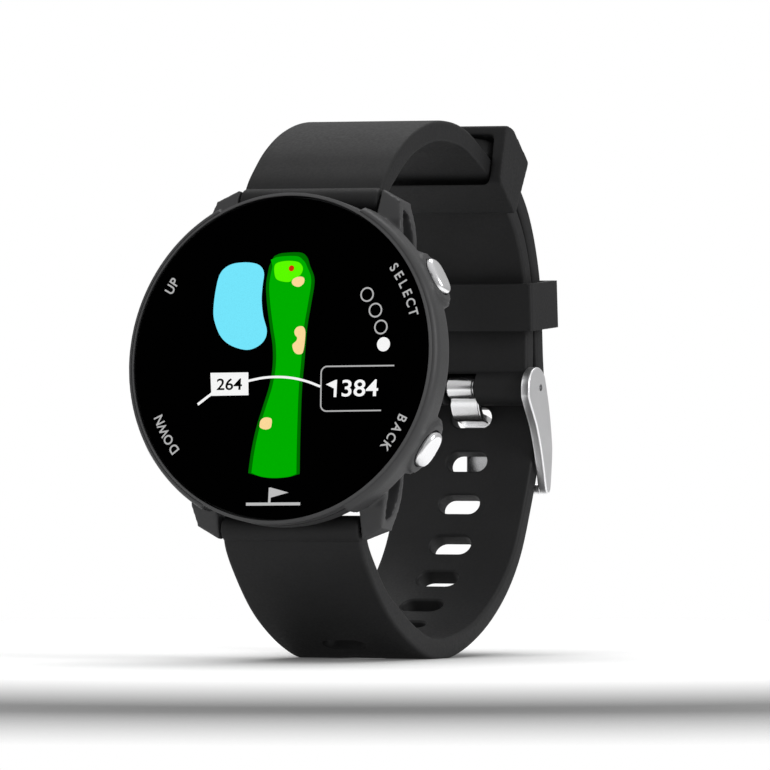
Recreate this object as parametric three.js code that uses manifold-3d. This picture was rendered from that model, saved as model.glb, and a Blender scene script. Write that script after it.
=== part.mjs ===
// Golf GPS watch: round sensor head on a buckled silicone strap loop, standing on the strap.
// Millimetres, Z up, watch face towards -Y, strap width along X, origin under the middle of the box.
// Head pieces are written in a face frame: x across, y up the dial, z out of the glass, glass top at z = 0.
// Loop pieces are written in the Y-Z plane measured from the centre of the glass.
import * as THREE from 'three';
import Module from 'manifold-3d';
import { mergeVertices } from 'three/addons/utils/BufferGeometryUtils.js';

// ---- placing of the head ----
const TILT = THREE.MathUtils.degToRad(7.7);
const GLASS_Y = -32.25;
const GLASS_Z = 42.7;

// ---- fits ----
const GAP = 0.3;
const OVERCUT = 1;
const SEG = 64;
const SEG_SMALL = 24;

// ---- head ----
const GLASS_R = 22.8;
const GLASS_T = 1.2;
const BEZEL_R = 23.45;
const BEZEL_DROP = 1.9;
const BEZEL_PROUD = 0.05;
const CASE_R = 24.1;
const CASE_TOP = 0.4;
const SHOULDER_DEPTH = 1.2;
const WALL_DEPTH = 4.2;
const CASE_DEPTH = 11.2;
const CASE_BACK_R = 19.9;
const CAVITY_R = 21.2;
const CAVITY_BACK_R = 18.2;
const CAVITY_FLAT = 17.2;
const CAVITY_FLAT_DEPTH = 3.5;
const LAND_R = 15.4;
const LAND_DEPTH = 9;
const BACK_OPENING_R = 17.9;
const STRAP_BAY = 19.8;
const STRAP_BAY_DEPTH = 4.6;

// ---- display stack and electronics, as depths below the glass; blocks are size, then centre ----
const DISPLAY_R = 20.6;
const DISPLAY_TOP = 1.5;
const DISPLAY_BACK = 2.7;
const CARRIER_IN = 18.4;
const CARRIER_TOP = 3;
const CARRIER_BACK = 3.4;
const BOARD_R = 19.2;
const BOARD_TOP = 6.05;
const BOARD_BACK = 6.75;
const SHIELD = [12, 9, 0.9, -7, 5, -5.3];
const PROCESSOR = [8, 8, 0.7, 6.5, 5, -5.4];
const ANTENNA = [13, 5, 0.9, 0, -11, -5.3];
const BATTERY = [22, 16, 3.2, 0, 0, -8.65];
const MOTOR_R = 3.8;
const MOTOR_V = 12.6;
const MOTOR_TOP = 7.05;
const MOTOR_BACK = 8.7;

// ---- back cover ----
const COVER_R = 17.6;
const COVER_TOP = 10.6;
const COVER_BACK = 12.3;
const COVER_EDGE = 0.6;
const SCREW_CIRCLE = 16.2;
const SCREW_ANGLES = [45, 135, 225, 315].map((d) => THREE.MathUtils.degToRad(d));
const SCREW_R = 0.5;
const SCREW_HEAD_R = 0.9;
const HEAD_SINK = 1;
const HEAD_T = 0.5;
const SCREW_SLOT = 1.4;
const SCREW_SLOT_WIDTH = 0.3;
const CONTACT_R = 0.7;
const CONTACT_PITCH = 2.6;
const CONTACT_V = -12.4;
const CONTACT_PLACES = [-1.5, -0.5, 0.5, 1.5];
const CONTACT_TOP = 9.8;
const CONTACT_PROUD = 0.1;
const SEAL_RING_R = 15.1;
const SEAL_RING_WIDTH = 0.6;
const SEAL_RING_TOP = 9.4;

// ---- lugs ----
const LUG_IN = 11.05;
const LUG_OUT = 15.3;
const LUG_ROOT = 14;
const LUG_SIDE = [[20.3, 4.9], [24.9, 6.6], [24.7, 7.8], [23.1, 9.5], [16.6, 10.4]];
const LUG_PLAN = [[11.05, 24.9], [14.3, 23.1], [15.1, 20], [15.3, 18]];
const LUG_FACE = 4.7;
const LUG_REAR = 10.4;
const POCKET = [[15.6, 5.7], [20.2, 5.9], [22, 6.8], [21.2, 8.2], [16.4, 9.4], [15.6, 9.4]];
const POCKET_DEPTH = 2;
const BAR_V = 23.2;
const BAR_W = 7.7;
const BAR_PIN_R = 0.45;
const BAR_HOLE_R = 0.75;
const BAR_TUBE_R = 0.8;
const BAR_PIN_REACH = 1.2;
const LEVER_X = 7.2;
const LEVER_W = 1.5;
const LEVER_OUT = 2.6;
const LEVER_TRAVEL = 1.2;

// ---- buttons ----
const BUTTON_ANGLE = THREE.MathUtils.degToRad(29.8);
const BUTTON_DEPTH = 5.1;
const BUTTON_LENGTH = 5.4;
const BUTTON_WIDTH = 3.4;
const BUTTON_FACE_R = 25.2;
const BUTTON_SEAT_R = 23.4;
const BUTTON_STEM_R = 0.8;
const BUTTON_STEM_IN = 20.6;
const BUTTON_TRAVEL = 0.6;
const BOSS_LENGTH = 9;
const BOSS_WIDTH = 5.2;
const BOSS_R = 24.45;
const BOSS_ROOT_R = 21.4;
const BOSS_STEP = 0.5;
const SEAL_R = 1.6;
const SEAL_T = 0.5;
const SEAL_OUT = 21.4;
const SWITCH_FACE_R = 19.9;
const SWITCH_REACH = 1.8;
const SWITCH_T = 1.3;
const SWITCH_LENGTH = 4;

// ---- strap ----
const STRAP_T = 2.6;
const CREST_SWELL = 0.2;
const BASE_SWELL = 0.5;
const CREST_SHARES = [0.02, 0.1, 0.35, 0.48];
const BASE_SHARES = [0.08, 0.14, 0.28, 0.36];
const SHORT_POINTS = [
  [12.2, 24.1], [14.5, 26.1], [17.6, 28.4], [22.6, 30.8], [30, 32.3], [38.3, 31.5],
  [44.4, 28.9], [49.8, 25.8], [56.8, 19.2], [60.1, 12.6], [61, 5.4], [61.1, 0],
];
const LONG_POINTS = [
  [5.15, -26.3], [8.2, -30.2], [12.8, -34.6], [17.8, -37.8], [23.4, -40.3],
  [28, -41.5], [33, -41.5], [39, -40.2], [46.2, -37.2], [52.4, -33], [56.8, -28.2], [60.3, -21.6],
  [63.1, -14.8], [64.5, -9.3], [65, -4.2], [64.6, 0.6], [64.2, 5.9], [63.1, 12.8], [59.4, 20.9], [51.7, 28.1],
];
const SHORT_STEPS = 56;
const LONG_STEPS = 96;
const STRAP_HALF_LUG = 10.75;
const STRAP_HALF_BUCKLE = 10.5;
const TUBE_LUG_R = 1.95;
const TUBE_BORE_R = 1.1;
const LAYER = STRAP_T + GAP;
const HOLE_LENGTH = 6.4;
const HOLE_HEIGHT = 3;
const HOLE_PITCH = 6.8;
const HOLES = 10;
const TONGUE_HOLE_Z = -8.75;

// ---- buckle ----
const PIVOT = new THREE.Vector2(60.8, -4.2);
const TUBE_BUCKLE_R = 2.6;
const NOTCH_HALF = 2.8;
const FRAME_IN = 10.9;
const FRAME_OUT = 12.3;
const FRAME_TOP = new THREE.Vector2(59.8, -4.3);
const FRAME_TOP_R = 3.1;
const FRAME_EDGES = [
  [56.9, -5.7], [57.7, -7], [59.6, -9.8], [61, -12.9], [62, -16], [62.8, -18.9], [63.5, -19.6], [64.3, -19],
  [64.7, -16.7], [65, -13.8], [64.9, -11.9], [64.1, -7.7],
];
const FRAME_STEPS = 54;
const FRAME_BAR = new THREE.Vector2(64, -18.9);
const FRAME_BAR_R = 0.75;
const BUCKLE_PIN = 0.7;
const TONGUE_POINTS = [
  [61.3, -5], [61.5, -6.8], [62.4, -8.3], [64.2, -8.8], [66, -9.5], [66.9, -11.6], [67.1, -15], [66.9, -19.8],
];
const TONGUE_STEPS = 22;
const TONGUE_HALF = 2.3;
const TONGUE_T = 1.1;
const KNUCKLE_R = 1.75;

// ---- keepers ----
const KEEPER_AXIS = THREE.MathUtils.degToRad(-42);
const KEEPER_CENTRE = new THREE.Vector2(51, 26.95);
const KEEPER_OUTLINE = [[-2.5, -4.4], [4.6, -4.4], [3.8, -0.4], [2.9, 4.4], [-4.3, 4.4], [-6.5, 3.1]];
const KEEPER_HALF = 12.6;
const KEEPER_BORE_HALF = 10.95;
const LOOP_Z = 7.6;
const LOOP_HEIGHT = 6.8;
const LOOP_HALF = 12.3;
const LOOP_WALL = 1.35;
const LOOP_BORE = 6.8;

const wasm = await Module();
wasm.setup();

// ---- looks of the raw solids ----
const look = (color, roughness, metalness) => new THREE.MeshStandardMaterial({ color, roughness, metalness });
const CASE_LOOK = look(0x2c2c2e, 0.6, 0);
const BEZEL_LOOK = look(0x3a3a3c, 0.5, 0);
const GLASS_LOOK = look(0x08080a, 0.1, 0);
const SCREEN_LOOK = look(0x101418, 0.3, 0);
const BOARD_LOOK = look(0x1c4a2c, 0.6, 0);
const CHIP_LOOK = look(0x18181a, 0.5, 0);
const CAN_LOOK = look(0xb4b6b8, 0.4, 0.9);
const FOIL_LOOK = look(0x8c9094, 0.4, 0.6);
const STEEL_LOOK = look(0xd4d5d7, 0.2, 1);
const GOLD_LOOK = look(0xc8a24a, 0.3, 1);
const SEAL_LOOK = look(0x5a2420, 0.8, 0);
const STRAP_LOOK = look(0x1b1b1d, 0.75, 0);

const group = new THREE.Group();

// ---- solids ----
function solid(geometry) {
  const bare = geometry.clone();
  bare.deleteAttribute('normal');
  bare.deleteAttribute('uv');
  const merged = mergeVertices(bare, 1e-4);
  return new wasm.Manifold(new wasm.Mesh({
    numProp: 3,
    vertProperties: new Float32Array(merged.attributes.position.array),
    triVerts: new Uint32Array(merged.index.array),
  }));
}

function geometryOf(manifold) {
  const mesh = manifold.getMesh();
  const geometry = new THREE.BufferGeometry();
  geometry.setAttribute('position', new THREE.BufferAttribute(mesh.vertProperties, 3));
  geometry.setIndex(new THREE.BufferAttribute(mesh.triVerts, 1));
  return geometry;
}

// Adds one piece; head pieces are turned from the face frame, loop pieces only lifted.
const HEAD = new THREE.Matrix4().makeTranslation(0, GLASS_Y, GLASS_Z)
  .multiply(new THREE.Matrix4().makeRotationX(Math.PI / 2 - TILT));
const LOOP = new THREE.Matrix4().makeTranslation(0, GLASS_Y, GLASS_Z);

function piece(name, manifold, frame, material) {
  const geometry = geometryOf(manifold);
  geometry.applyMatrix4(frame);
  const flat = geometry.toNonIndexed();
  flat.computeVertexNormals();
  const mesh = new THREE.Mesh(flat, material);
  mesh.name = name;
  group.add(mesh);
}

const box = (w, d, h, x, y, z) => solid(new THREE.BoxGeometry(w, d, h).translate(x, y, z));

// Body of revolution about z from (radius, z) corners.
function turned(corners, segments = SEG) {
  const points = corners.map(([r, z]) => new THREE.Vector2(r, z));
  if (THREE.ShapeUtils.isClockWise(points)) points.reverse();
  points.push(points[0].clone());
  return solid(new THREE.LatheGeometry(points, segments).rotateX(Math.PI / 2));
}

const disc = (r, top, bottom, segments = SEG) => solid(
  new THREE.CylinderGeometry(r, r, top - bottom, segments).rotateX(Math.PI / 2)
    .translate(0, 0, (top + bottom) / 2));

const rodX = (r, x0, x1, y, z, segments = SEG_SMALL) => solid(
  new THREE.CylinderGeometry(r, r, x1 - x0, segments).rotateZ(Math.PI / 2)
    .translate((x0 + x1) / 2, y, z));

// Prism along x from corners given in the y-z plane.
const YZ = new THREE.Matrix4().makeBasis(
  new THREE.Vector3(0, 1, 0), new THREE.Vector3(0, 0, 1), new THREE.Vector3(1, 0, 0));
function prismX(corners, x0, x1) {
  const shape = new THREE.Shape(corners.map((p) => new THREE.Vector2(p.x, p.y)));
  const geometry = new THREE.ExtrudeGeometry(shape, { depth: x1 - x0, bevelEnabled: false });
  return solid(geometry.translate(0, 0, x0).applyMatrix4(YZ));
}

const corner = (a, b) => new THREE.Vector2(a, b);

// Rounded slot outline, long side along the first axis.
function stadium(length, width, segments = SEG_SMALL / 2) {
  const r = width / 2;
  const reach = length / 2 - r;
  const points = [];
  for (let side = 0; side < 2; side += 1) {
    const sign = side === 0 ? 1 : -1;
    for (let i = 0; i <= segments; i += 1) {
      const a = -Math.PI / 2 + (Math.PI * i) / segments;
      points.push(new THREE.Vector2(sign * (reach + r * Math.cos(a)), sign * r * Math.sin(a)));
    }
  }
  return new THREE.Shape(points);
}

// ======================= head =======================
const bezel = turned([
  [GLASS_R + GAP / 2, BEZEL_PROUD],
  [GLASS_R + GAP, BEZEL_PROUD],
  [BEZEL_R, -GAP],
  [BEZEL_R, -BEZEL_DROP],
  [GLASS_R + GAP / 2, -BEZEL_DROP],
]);
piece('bezel_ring', bezel, HEAD, BEZEL_LOOK);
piece('lens_glass', disc(GLASS_R - GAP / 2, 0, -GLASS_T), HEAD, GLASS_LOOK);

// Places a shape made around the origin (x = tangent, y = depth, z = outwards) on the case side.
function onSide(manifoldShape, angle, radius) {
  const out = new THREE.Vector3(Math.cos(angle), Math.sin(angle), 0);
  const depth = new THREE.Vector3(0, 0, 1);
  const along = new THREE.Vector3().crossVectors(depth, out);
  const frame = new THREE.Matrix4().makeBasis(along, depth, out)
    .setPosition(out.x * radius, out.y * radius, -BUTTON_DEPTH);
  return solid(manifoldShape.applyMatrix4(frame));
}

const sideBlock = (length, width, height, angle, radius) => onSide(
  new THREE.ExtrudeGeometry(stadium(length, width), { depth: height, bevelEnabled: false }), angle, radius);

const sideRod = (r, height, angle, radius) => onSide(
  new THREE.CylinderGeometry(r, r, height, SEG_SMALL).rotateX(Math.PI / 2).translate(0, 0, height / 2),
  angle, radius);

const BUTTONS = [
  { name: 'select', angle: BUTTON_ANGLE },
  { name: 'back', angle: -BUTTON_ANGLE },
  { name: 'up', angle: Math.PI - BUTTON_ANGLE },
  { name: 'down', angle: Math.PI + BUTTON_ANGLE },
];

// Outline in the y-z plane from (height, depth) pairs, mirrored for the lower lugs.
function sideOutline(pairs, vSign) {
  const outline = pairs.map(([v, w]) => corner(v * vSign, -w));
  return vSign > 0 ? outline : outline.reverse();
}

// Lug seen from the side, trimmed outside the plan line of its outer edge and tip.
function lug(xSign, vSign) {
  const side = sideOutline([[LUG_ROOT, LUG_FACE], ...LUG_SIDE, [LUG_ROOT, LUG_REAR]], vSign);
  const plan = [[0, LUG_ROOT], ...LUG_PLAN.slice().reverse(), [0, LUG_PLAN[0][1]]];
  plan.splice(1, 0, [LUG_OUT, LUG_ROOT]);
  const shape = new THREE.Shape(plan.map(([x, v]) => corner(x * xSign, v * vSign)));
  const keep = solid(new THREE.ExtrudeGeometry(shape, { depth: 2 * CASE_DEPTH, bevelEnabled: false })
    .translate(0, 0, -2 * CASE_DEPTH));
  return prismX(side, xSign > 0 ? LUG_IN : -LUG_OUT, xSign > 0 ? LUG_OUT : -LUG_IN).intersect(keep);
}

const pocket = (xSign, vSign) => prismX(
  sideOutline(POCKET, vSign),
  xSign > 0 ? LUG_OUT - POCKET_DEPTH : -LUG_OUT - OVERCUT,
  xSign > 0 ? LUG_OUT + OVERCUT : -LUG_OUT + POCKET_DEPTH);

let midCase = turned([
  [LAND_R, -GLASS_T - GAP],
  [GLASS_R, -GLASS_T - GAP],
  [GLASS_R, -BEZEL_DROP - GAP],
  [BEZEL_R + GAP / 2, -BEZEL_DROP - GAP],
  [BEZEL_R + GAP / 2, -CASE_TOP],
  [CASE_R, -SHOULDER_DEPTH],
  [CASE_R, -WALL_DEPTH],
  [CASE_BACK_R, -CASE_DEPTH],
  [LAND_R, -CASE_DEPTH],
]);
const SIGNS = [1, -1];
for (const xs of SIGNS) {
  for (const vs of SIGNS) {
    midCase = midCase.add(lug(xs, vs));
  }
}
for (const { angle } of BUTTONS) {
  const height = BOSS_R - BOSS_ROOT_R;
  const root = sideBlock(BOSS_LENGTH, BOSS_WIDTH, height - BOSS_STEP, angle, BOSS_ROOT_R);
  const crown = sideBlock(
    BOSS_LENGTH - 2 * BOSS_STEP, BOSS_WIDTH - 2 * BOSS_STEP, height, angle, BOSS_ROOT_R);
  midCase = midCase.add(root).add(crown);
}
midCase = midCase.subtract(turned([
  [GLASS_R, OVERCUT],
  [BEZEL_R + GAP / 2, OVERCUT],
  [BEZEL_R + GAP / 2, -BEZEL_DROP - GAP],
  [GLASS_R, -BEZEL_DROP - GAP],
]));

// Inside of the case: wide under the display, flats behind the strap ends, a land for the back cover.
const cavity = turned([
  [0, OVERCUT],
  [CAVITY_R, OVERCUT],
  [CAVITY_R, -WALL_DEPTH],
  [CAVITY_BACK_R, -LAND_DEPTH],
  [0, -LAND_DEPTH],
]);
const flatBlock = (sign) => box(
  3 * CASE_R, CASE_R, CASE_R, 0, sign * (CAVITY_FLAT + CASE_R / 2), -CAVITY_FLAT_DEPTH - CASE_R / 2);
midCase = midCase.subtract(cavity.subtract(flatBlock(1)).subtract(flatBlock(-1)));
midCase = midCase.subtract(disc(BACK_OPENING_R, -COVER_TOP + GAP, -CASE_DEPTH - OVERCUT));
const screwAt = SCREW_ANGLES.map((a) => corner(SCREW_CIRCLE * Math.cos(a), SCREW_CIRCLE * Math.sin(a)));
const rodAt = (r, top, bottom, at) => disc(r, top, bottom, SEG_SMALL).translate(at.x, at.y, 0);
for (const at of screwAt) {
  midCase = midCase.subtract(rodAt(SCREW_R + GAP, -LAND_DEPTH + OVERCUT, -CASE_DEPTH, at));
}
for (const vs of SIGNS) {
  midCase = midCase.subtract(box(
    2 * LUG_IN, CASE_R, CASE_R, 0, vs * (STRAP_BAY + CASE_R / 2), -STRAP_BAY_DEPTH - CASE_R / 2));
  midCase = midCase.subtract(box(
    2 * LUG_IN, CASE_R, CASE_R, 0, vs * CASE_R, 0).subtract(disc(BEZEL_R, CASE_R, -CASE_R)));
  for (const xs of SIGNS) {
    const reach = LUG_IN + BAR_PIN_REACH + GAP;
    const inside = LUG_IN - OVERCUT;
    midCase = midCase.subtract(pocket(xs, vs));
    midCase = midCase.subtract(rodX(
      BAR_HOLE_R, xs > 0 ? inside : -reach, xs > 0 ? reach : -inside, vs * BAR_V, -BAR_W));
  }
}
for (const { angle } of BUTTONS) {
  midCase = midCase.subtract(sideBlock(
    BUTTON_LENGTH + 2 * GAP, BUTTON_WIDTH + 2 * GAP, BOSS_R, angle, BUTTON_SEAT_R - BUTTON_TRAVEL - GAP));
  midCase = midCase.subtract(sideRod(BUTTON_STEM_R + GAP, BOSS_ROOT_R, angle, BUTTON_STEM_IN - OVERCUT));
  midCase = midCase.subtract(sideRod(
    SEAL_R + GAP, SEAL_OUT - BUTTON_STEM_IN + OVERCUT + GAP, angle, BUTTON_STEM_IN - OVERCUT));
}
piece('mid_case', midCase, HEAD, CASE_LOOK);

// ---- display stack and electronics ----
const trimmed = (r, top, bottom) => disc(r, top, bottom).intersect(
  box(4 * r, 2 * (CAVITY_FLAT - GAP), 4 * r, 0, 0, 0));
const ring = (outer, inner, top, bottom) => disc(outer, top, bottom).subtract(
  disc(inner, top + OVERCUT, bottom - OVERCUT));
piece('display_panel', disc(DISPLAY_R, -DISPLAY_TOP, -DISPLAY_BACK), HEAD, SCREEN_LOOK);
piece('display_carrier', ring(DISPLAY_R, CARRIER_IN, -CARRIER_TOP, -CARRIER_BACK), HEAD, CHIP_LOOK);
piece('main_board', trimmed(BOARD_R, -BOARD_TOP, -BOARD_BACK), HEAD, BOARD_LOOK);
piece('radio_shield', box(...SHIELD), HEAD, CAN_LOOK);
piece('processor_chip', box(...PROCESSOR), HEAD, CHIP_LOOK);
piece('gnss_antenna', box(...ANTENNA), HEAD, GOLD_LOOK);
piece('battery_cell', box(...BATTERY), HEAD, FOIL_LOOK);
const motor = disc(MOTOR_R, -MOTOR_TOP, -MOTOR_BACK, 2 * SEG_SMALL).translate(0, MOTOR_V, 0);
piece('vibration_motor', motor, HEAD, CAN_LOOK);
const gasket = ring(SEAL_RING_R, SEAL_RING_R - SEAL_RING_WIDTH, -SEAL_RING_TOP, -COVER_TOP + GAP);
piece('back_gasket', gasket, HEAD, SEAL_LOOK);

// ---- back cover, its screws and the charging contacts ----
let cover = turned([
  [0, -COVER_TOP],
  [COVER_R, -COVER_TOP],
  [COVER_R, -COVER_BACK + COVER_EDGE],
  [COVER_R - COVER_EDGE, -COVER_BACK],
  [0, -COVER_BACK],
]);
for (const at of screwAt) {
  cover = cover.subtract(rodAt(SCREW_HEAD_R + GAP, -COVER_BACK + HEAD_SINK, -COVER_BACK - OVERCUT, at));
  cover = cover.subtract(rodAt(SCREW_R + GAP, -COVER_TOP + OVERCUT, -COVER_BACK - OVERCUT, at));
}
const contactAt = CONTACT_PLACES.map((i) => corner(i * CONTACT_PITCH, CONTACT_V));
for (const at of contactAt) {
  cover = cover.subtract(rodAt(CONTACT_R + GAP, -COVER_TOP + OVERCUT, -COVER_BACK - OVERCUT, at));
}
piece('back_cover', cover, HEAD, CASE_LOOK);
screwAt.forEach((at, i) => {
  const head = -COVER_BACK + HEAD_SINK - GAP;
  const bottom = head - HEAD_T;
  const screw = rodAt(SCREW_HEAD_R, head, bottom, at)
    .add(rodAt(SCREW_R, -LAND_DEPTH - GAP, head - HEAD_T / 2, at))
    .subtract(box(SCREW_SLOT, SCREW_SLOT_WIDTH, HEAD_T, at.x, at.y, bottom))
    .subtract(box(SCREW_SLOT_WIDTH, SCREW_SLOT, HEAD_T, at.x, at.y, bottom));
  piece('back_screw_' + (i + 1), screw, HEAD, STEEL_LOOK);
});
contactAt.forEach((at, i) => {
  const contact = rodAt(CONTACT_R, -CONTACT_TOP, -COVER_BACK + CONTACT_PROUD, at);
  piece('charge_contact_' + (i + 1), contact, HEAD, GOLD_LOOK);
});

// ---- buttons, each with its seal and switch ----
for (const { name, angle } of BUTTONS) {
  const edge = 0.5;
  const cap = onSide(new THREE.ExtrudeGeometry(
    stadium(BUTTON_LENGTH - 2 * edge, BUTTON_WIDTH - 2 * edge),
    {
      depth: BUTTON_FACE_R - BUTTON_SEAT_R - 2 * edge,
      bevelSize: edge,
      bevelThickness: edge,
      bevelSegments: 3,
    }).translate(0, 0, edge), angle, BUTTON_SEAT_R);
  const stem = sideRod(BUTTON_STEM_R, BUTTON_SEAT_R + edge - BUTTON_STEM_IN, angle, BUTTON_STEM_IN);
  piece('button_' + name, cap.add(stem), HEAD, STEEL_LOOK);
  const seal = sideRod(SEAL_R, SEAL_T, angle, SEAL_OUT - SEAL_T)
    .subtract(sideRod(BUTTON_STEM_R + GAP, 4 * SEAL_T, angle, SEAL_OUT - 3 * SEAL_T));
  piece('button_seal_' + name, seal, HEAD, SEAL_LOOK);
  const block = onSide(
    new THREE.BoxGeometry(SWITCH_LENGTH, SWITCH_T, SWITCH_REACH).translate(0, 0, -SWITCH_REACH / 2),
    angle, SWITCH_FACE_R);
  piece('button_switch_' + name, block, HEAD, CAN_LOOK);
}

// ---- spring bars and quick release levers at the lugs ----
for (const [place, vs] of [['top', 1], ['bottom', -1]]) {
  const tubeEnd = LUG_IN - GAP;
  const v = vs * BAR_V;
  const pinEnd = LEVER_X - 1;
  const bore = rodX(BAR_PIN_R + GAP / 2, pinEnd - LEVER_TRAVEL - GAP, tubeEnd + OVERCUT, v, -BAR_W);
  const slot = box(LEVER_TRAVEL + LEVER_W + 2 * GAP, LEVER_W, 2, LEVER_X - LEVER_TRAVEL / 2, v, -BAR_W - 1);
  const bar = rodX(BAR_TUBE_R, -tubeEnd, tubeEnd, v, -BAR_W)
    .add(rodX(BAR_PIN_R, -LUG_IN - BAR_PIN_REACH, -tubeEnd + OVERCUT, v, -BAR_W))
    .subtract(bore).subtract(slot);
  piece('lug_bar_' + place, bar, HEAD, STEEL_LOOK);
  const lever = rodX(BAR_PIN_R, pinEnd, LUG_IN + BAR_PIN_REACH, v, -BAR_W)
    .add(box(LEVER_W - 2 * GAP, LEVER_W - 2 * GAP, LEVER_OUT, LEVER_X, v, -BAR_W - LEVER_OUT / 2));
  piece('release_lever_' + place, lever, HEAD, STEEL_LOOK);
}

// ======================= strap loop =======================
const lugPoint = (v, w) => corner(
  v * Math.sin(TILT) + w * Math.cos(TILT), v * Math.cos(TILT) - w * Math.sin(TILT));
const TOP_BAR = lugPoint(BAR_V, BAR_W);
const BOTTOM_BAR = lugPoint(-BAR_V, BAR_W);

// Centre line of a strap as evenly spaced points with outward normals.
function centreLine(corners, count, side) {
  const curve = new THREE.CatmullRomCurve3(
    corners.map(([y, z]) => new THREE.Vector3(0, y, z)), false, 'centripetal');
  const spotAt = (share) => {
    const p = curve.getPointAt(share);
    const t = curve.getTangentAt(share);
    return { p: corner(p.y, p.z), n: corner(-t.z * side, t.y * side), t: corner(t.y, t.z), share };
  };
  const spots = Array.from({ length: count + 1 }, (unused, i) => spotAt(i / count));
  return { spots, spotAt, length: curve.getLength() };
}

const shifted = (spot, by) => corner(spot.p.x + spot.n.x * by, spot.p.y + spot.n.y * by);

// Strip between two offsets of a line; an offset is a number or depends on the share along the line.
function band(spots, inner, outer, half) {
  const at = (offset, s) => (typeof offset === 'number' ? offset : offset(s.share));
  const outline = spots.map((s) => shifted(s, at(outer, s))).concat(
    spots.slice().reverse().map((s) => shifted(s, at(inner, s))));
  return prismX(outline, -half, half);
}

// Rises from 0 to 1 between the first two shares and falls back between the last two.
const swell = (share, a, b, c, d) => THREE.MathUtils.smoothstep(share, a, b)
  - THREE.MathUtils.smoothstep(share, c, d);

const shortLine = centreLine(
  [[TOP_BAR.x, TOP_BAR.y], ...SHORT_POINTS, [PIVOT.x, PIVOT.y]], SHORT_STEPS, 1);
const longLine = centreLine([[BOTTOM_BAR.x, BOTTOM_BAR.y], ...LONG_POINTS], LONG_STEPS, -1);

const taper = solid(new THREE.ExtrudeGeometry(new THREE.Shape([
  corner(-STRAP_HALF_LUG, 0),
  corner(STRAP_HALF_LUG, 0),
  corner(STRAP_HALF_BUCKLE, PIVOT.x),
  corner(STRAP_HALF_BUCKLE, 2 * PIVOT.x),
  corner(-STRAP_HALF_BUCKLE, 2 * PIVOT.x),
  corner(-STRAP_HALF_BUCKLE, PIVOT.x),
]), { depth: 4 * PIVOT.x, bevelEnabled: false }).translate(0, 0, -2 * PIVOT.x));

// End tube round a lug bar, with the window the release lever works in.
function lugEnd(strap, bar) {
  const window = box(
    LEVER_TRAVEL + LEVER_W + 2 * GAP, LEVER_W + GAP, 4, LEVER_X - LEVER_TRAVEL / 2, 0, -2)
    .rotate([90 - THREE.MathUtils.radToDeg(TILT), 0, 0]).translate(0, bar.x, bar.y);
  return strap.add(rodX(TUBE_LUG_R, -STRAP_HALF_LUG, STRAP_HALF_LUG, bar.x, bar.y))
    .subtract(rodX(TUBE_BORE_R, -CASE_R, CASE_R, bar.x, bar.y))
    .subtract(window);
}

const crest = (share) => CREST_SWELL * swell(share, ...CREST_SHARES);
const base = (share) => BASE_SWELL * swell(share, ...BASE_SHARES);
let shortStrap = band(
  shortLine.spots, (s) => -STRAP_T / 2 - crest(s), (s) => STRAP_T / 2 + crest(s), STRAP_HALF_LUG);
shortStrap = lugEnd(shortStrap, TOP_BAR)
  .add(rodX(TUBE_BUCKLE_R, -STRAP_HALF_LUG, STRAP_HALF_LUG, PIVOT.x, PIVOT.y, 2 * SEG_SMALL))
  .subtract(rodX(TUBE_BORE_R, -CASE_R, CASE_R, PIVOT.x, PIVOT.y))
  .subtract(box(
    2 * NOTCH_HALF, 4 * TUBE_BUCKLE_R, TUBE_BUCKLE_R + KNUCKLE_R + 2 * GAP,
    0, PIVOT.x, PIVOT.y - (TUBE_BUCKLE_R - KNUCKLE_R) / 2))
  .intersect(taper);
piece('short_strap', shortStrap, LOOP, STRAP_LOOK);

const longBand = band(longLine.spots, (s) => -STRAP_T / 2 - base(s), STRAP_T / 2, STRAP_HALF_LUG);
let longStrap = lugEnd(longBand, BOTTOM_BAR).intersect(taper);
// Point of a strap line at a given height on its way up or down the back.
function backSpot(line, z) {
  let low = 0.5;
  let high = 1;
  const rising = line.spotAt(high).p.y > line.spotAt(low).p.y;
  while (high - low > 1e-5) {
    const middle = (low + high) / 2;
    if ((line.spotAt(middle).p.y > z) === rising) high = middle;
    else low = middle;
  }
  return line.spotAt(low);
}

const tongueShare = backSpot(longLine, TONGUE_HOLE_Z).share;
for (let i = 0; i < HOLES; i += 1) {
  const spot = longLine.spotAt(tongueShare - (i * HOLE_PITCH) / longLine.length);
  const cutter = new THREE.ExtrudeGeometry(stadium(HOLE_LENGTH, HOLE_HEIGHT), {
    depth: 4 * STRAP_T, bevelEnabled: false,
  }).translate(0, 0, -2 * STRAP_T);
  cutter.applyMatrix4(new THREE.Matrix4().makeBasis(
    new THREE.Vector3(1, 0, 0), new THREE.Vector3(0, -spot.n.y, spot.n.x),
    new THREE.Vector3(0, spot.n.x, spot.n.y)).scale(new THREE.Vector3(1, -1, 1)));
  longStrap = longStrap.subtract(solid(cutter).translate(0, spot.p.x, spot.p.y));
}
longStrap = longStrap.subtract(box(4 * CASE_R, 4 * CASE_R, CASE_R, 0, 2 * CASE_R, -GLASS_Z - CASE_R / 2));
piece('long_strap', longStrap, LOOP, STRAP_LOOK);

// ---- buckle ----
function arc(centre, r, from, to, count) {
  const points = [];
  for (let i = 0; i <= count; i += 1) {
    const a = THREE.MathUtils.degToRad(from + ((to - from) * i) / count);
    points.push(corner(centre.x + r * Math.cos(a), centre.y + r * Math.sin(a)));
  }
  return points;
}

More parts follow.
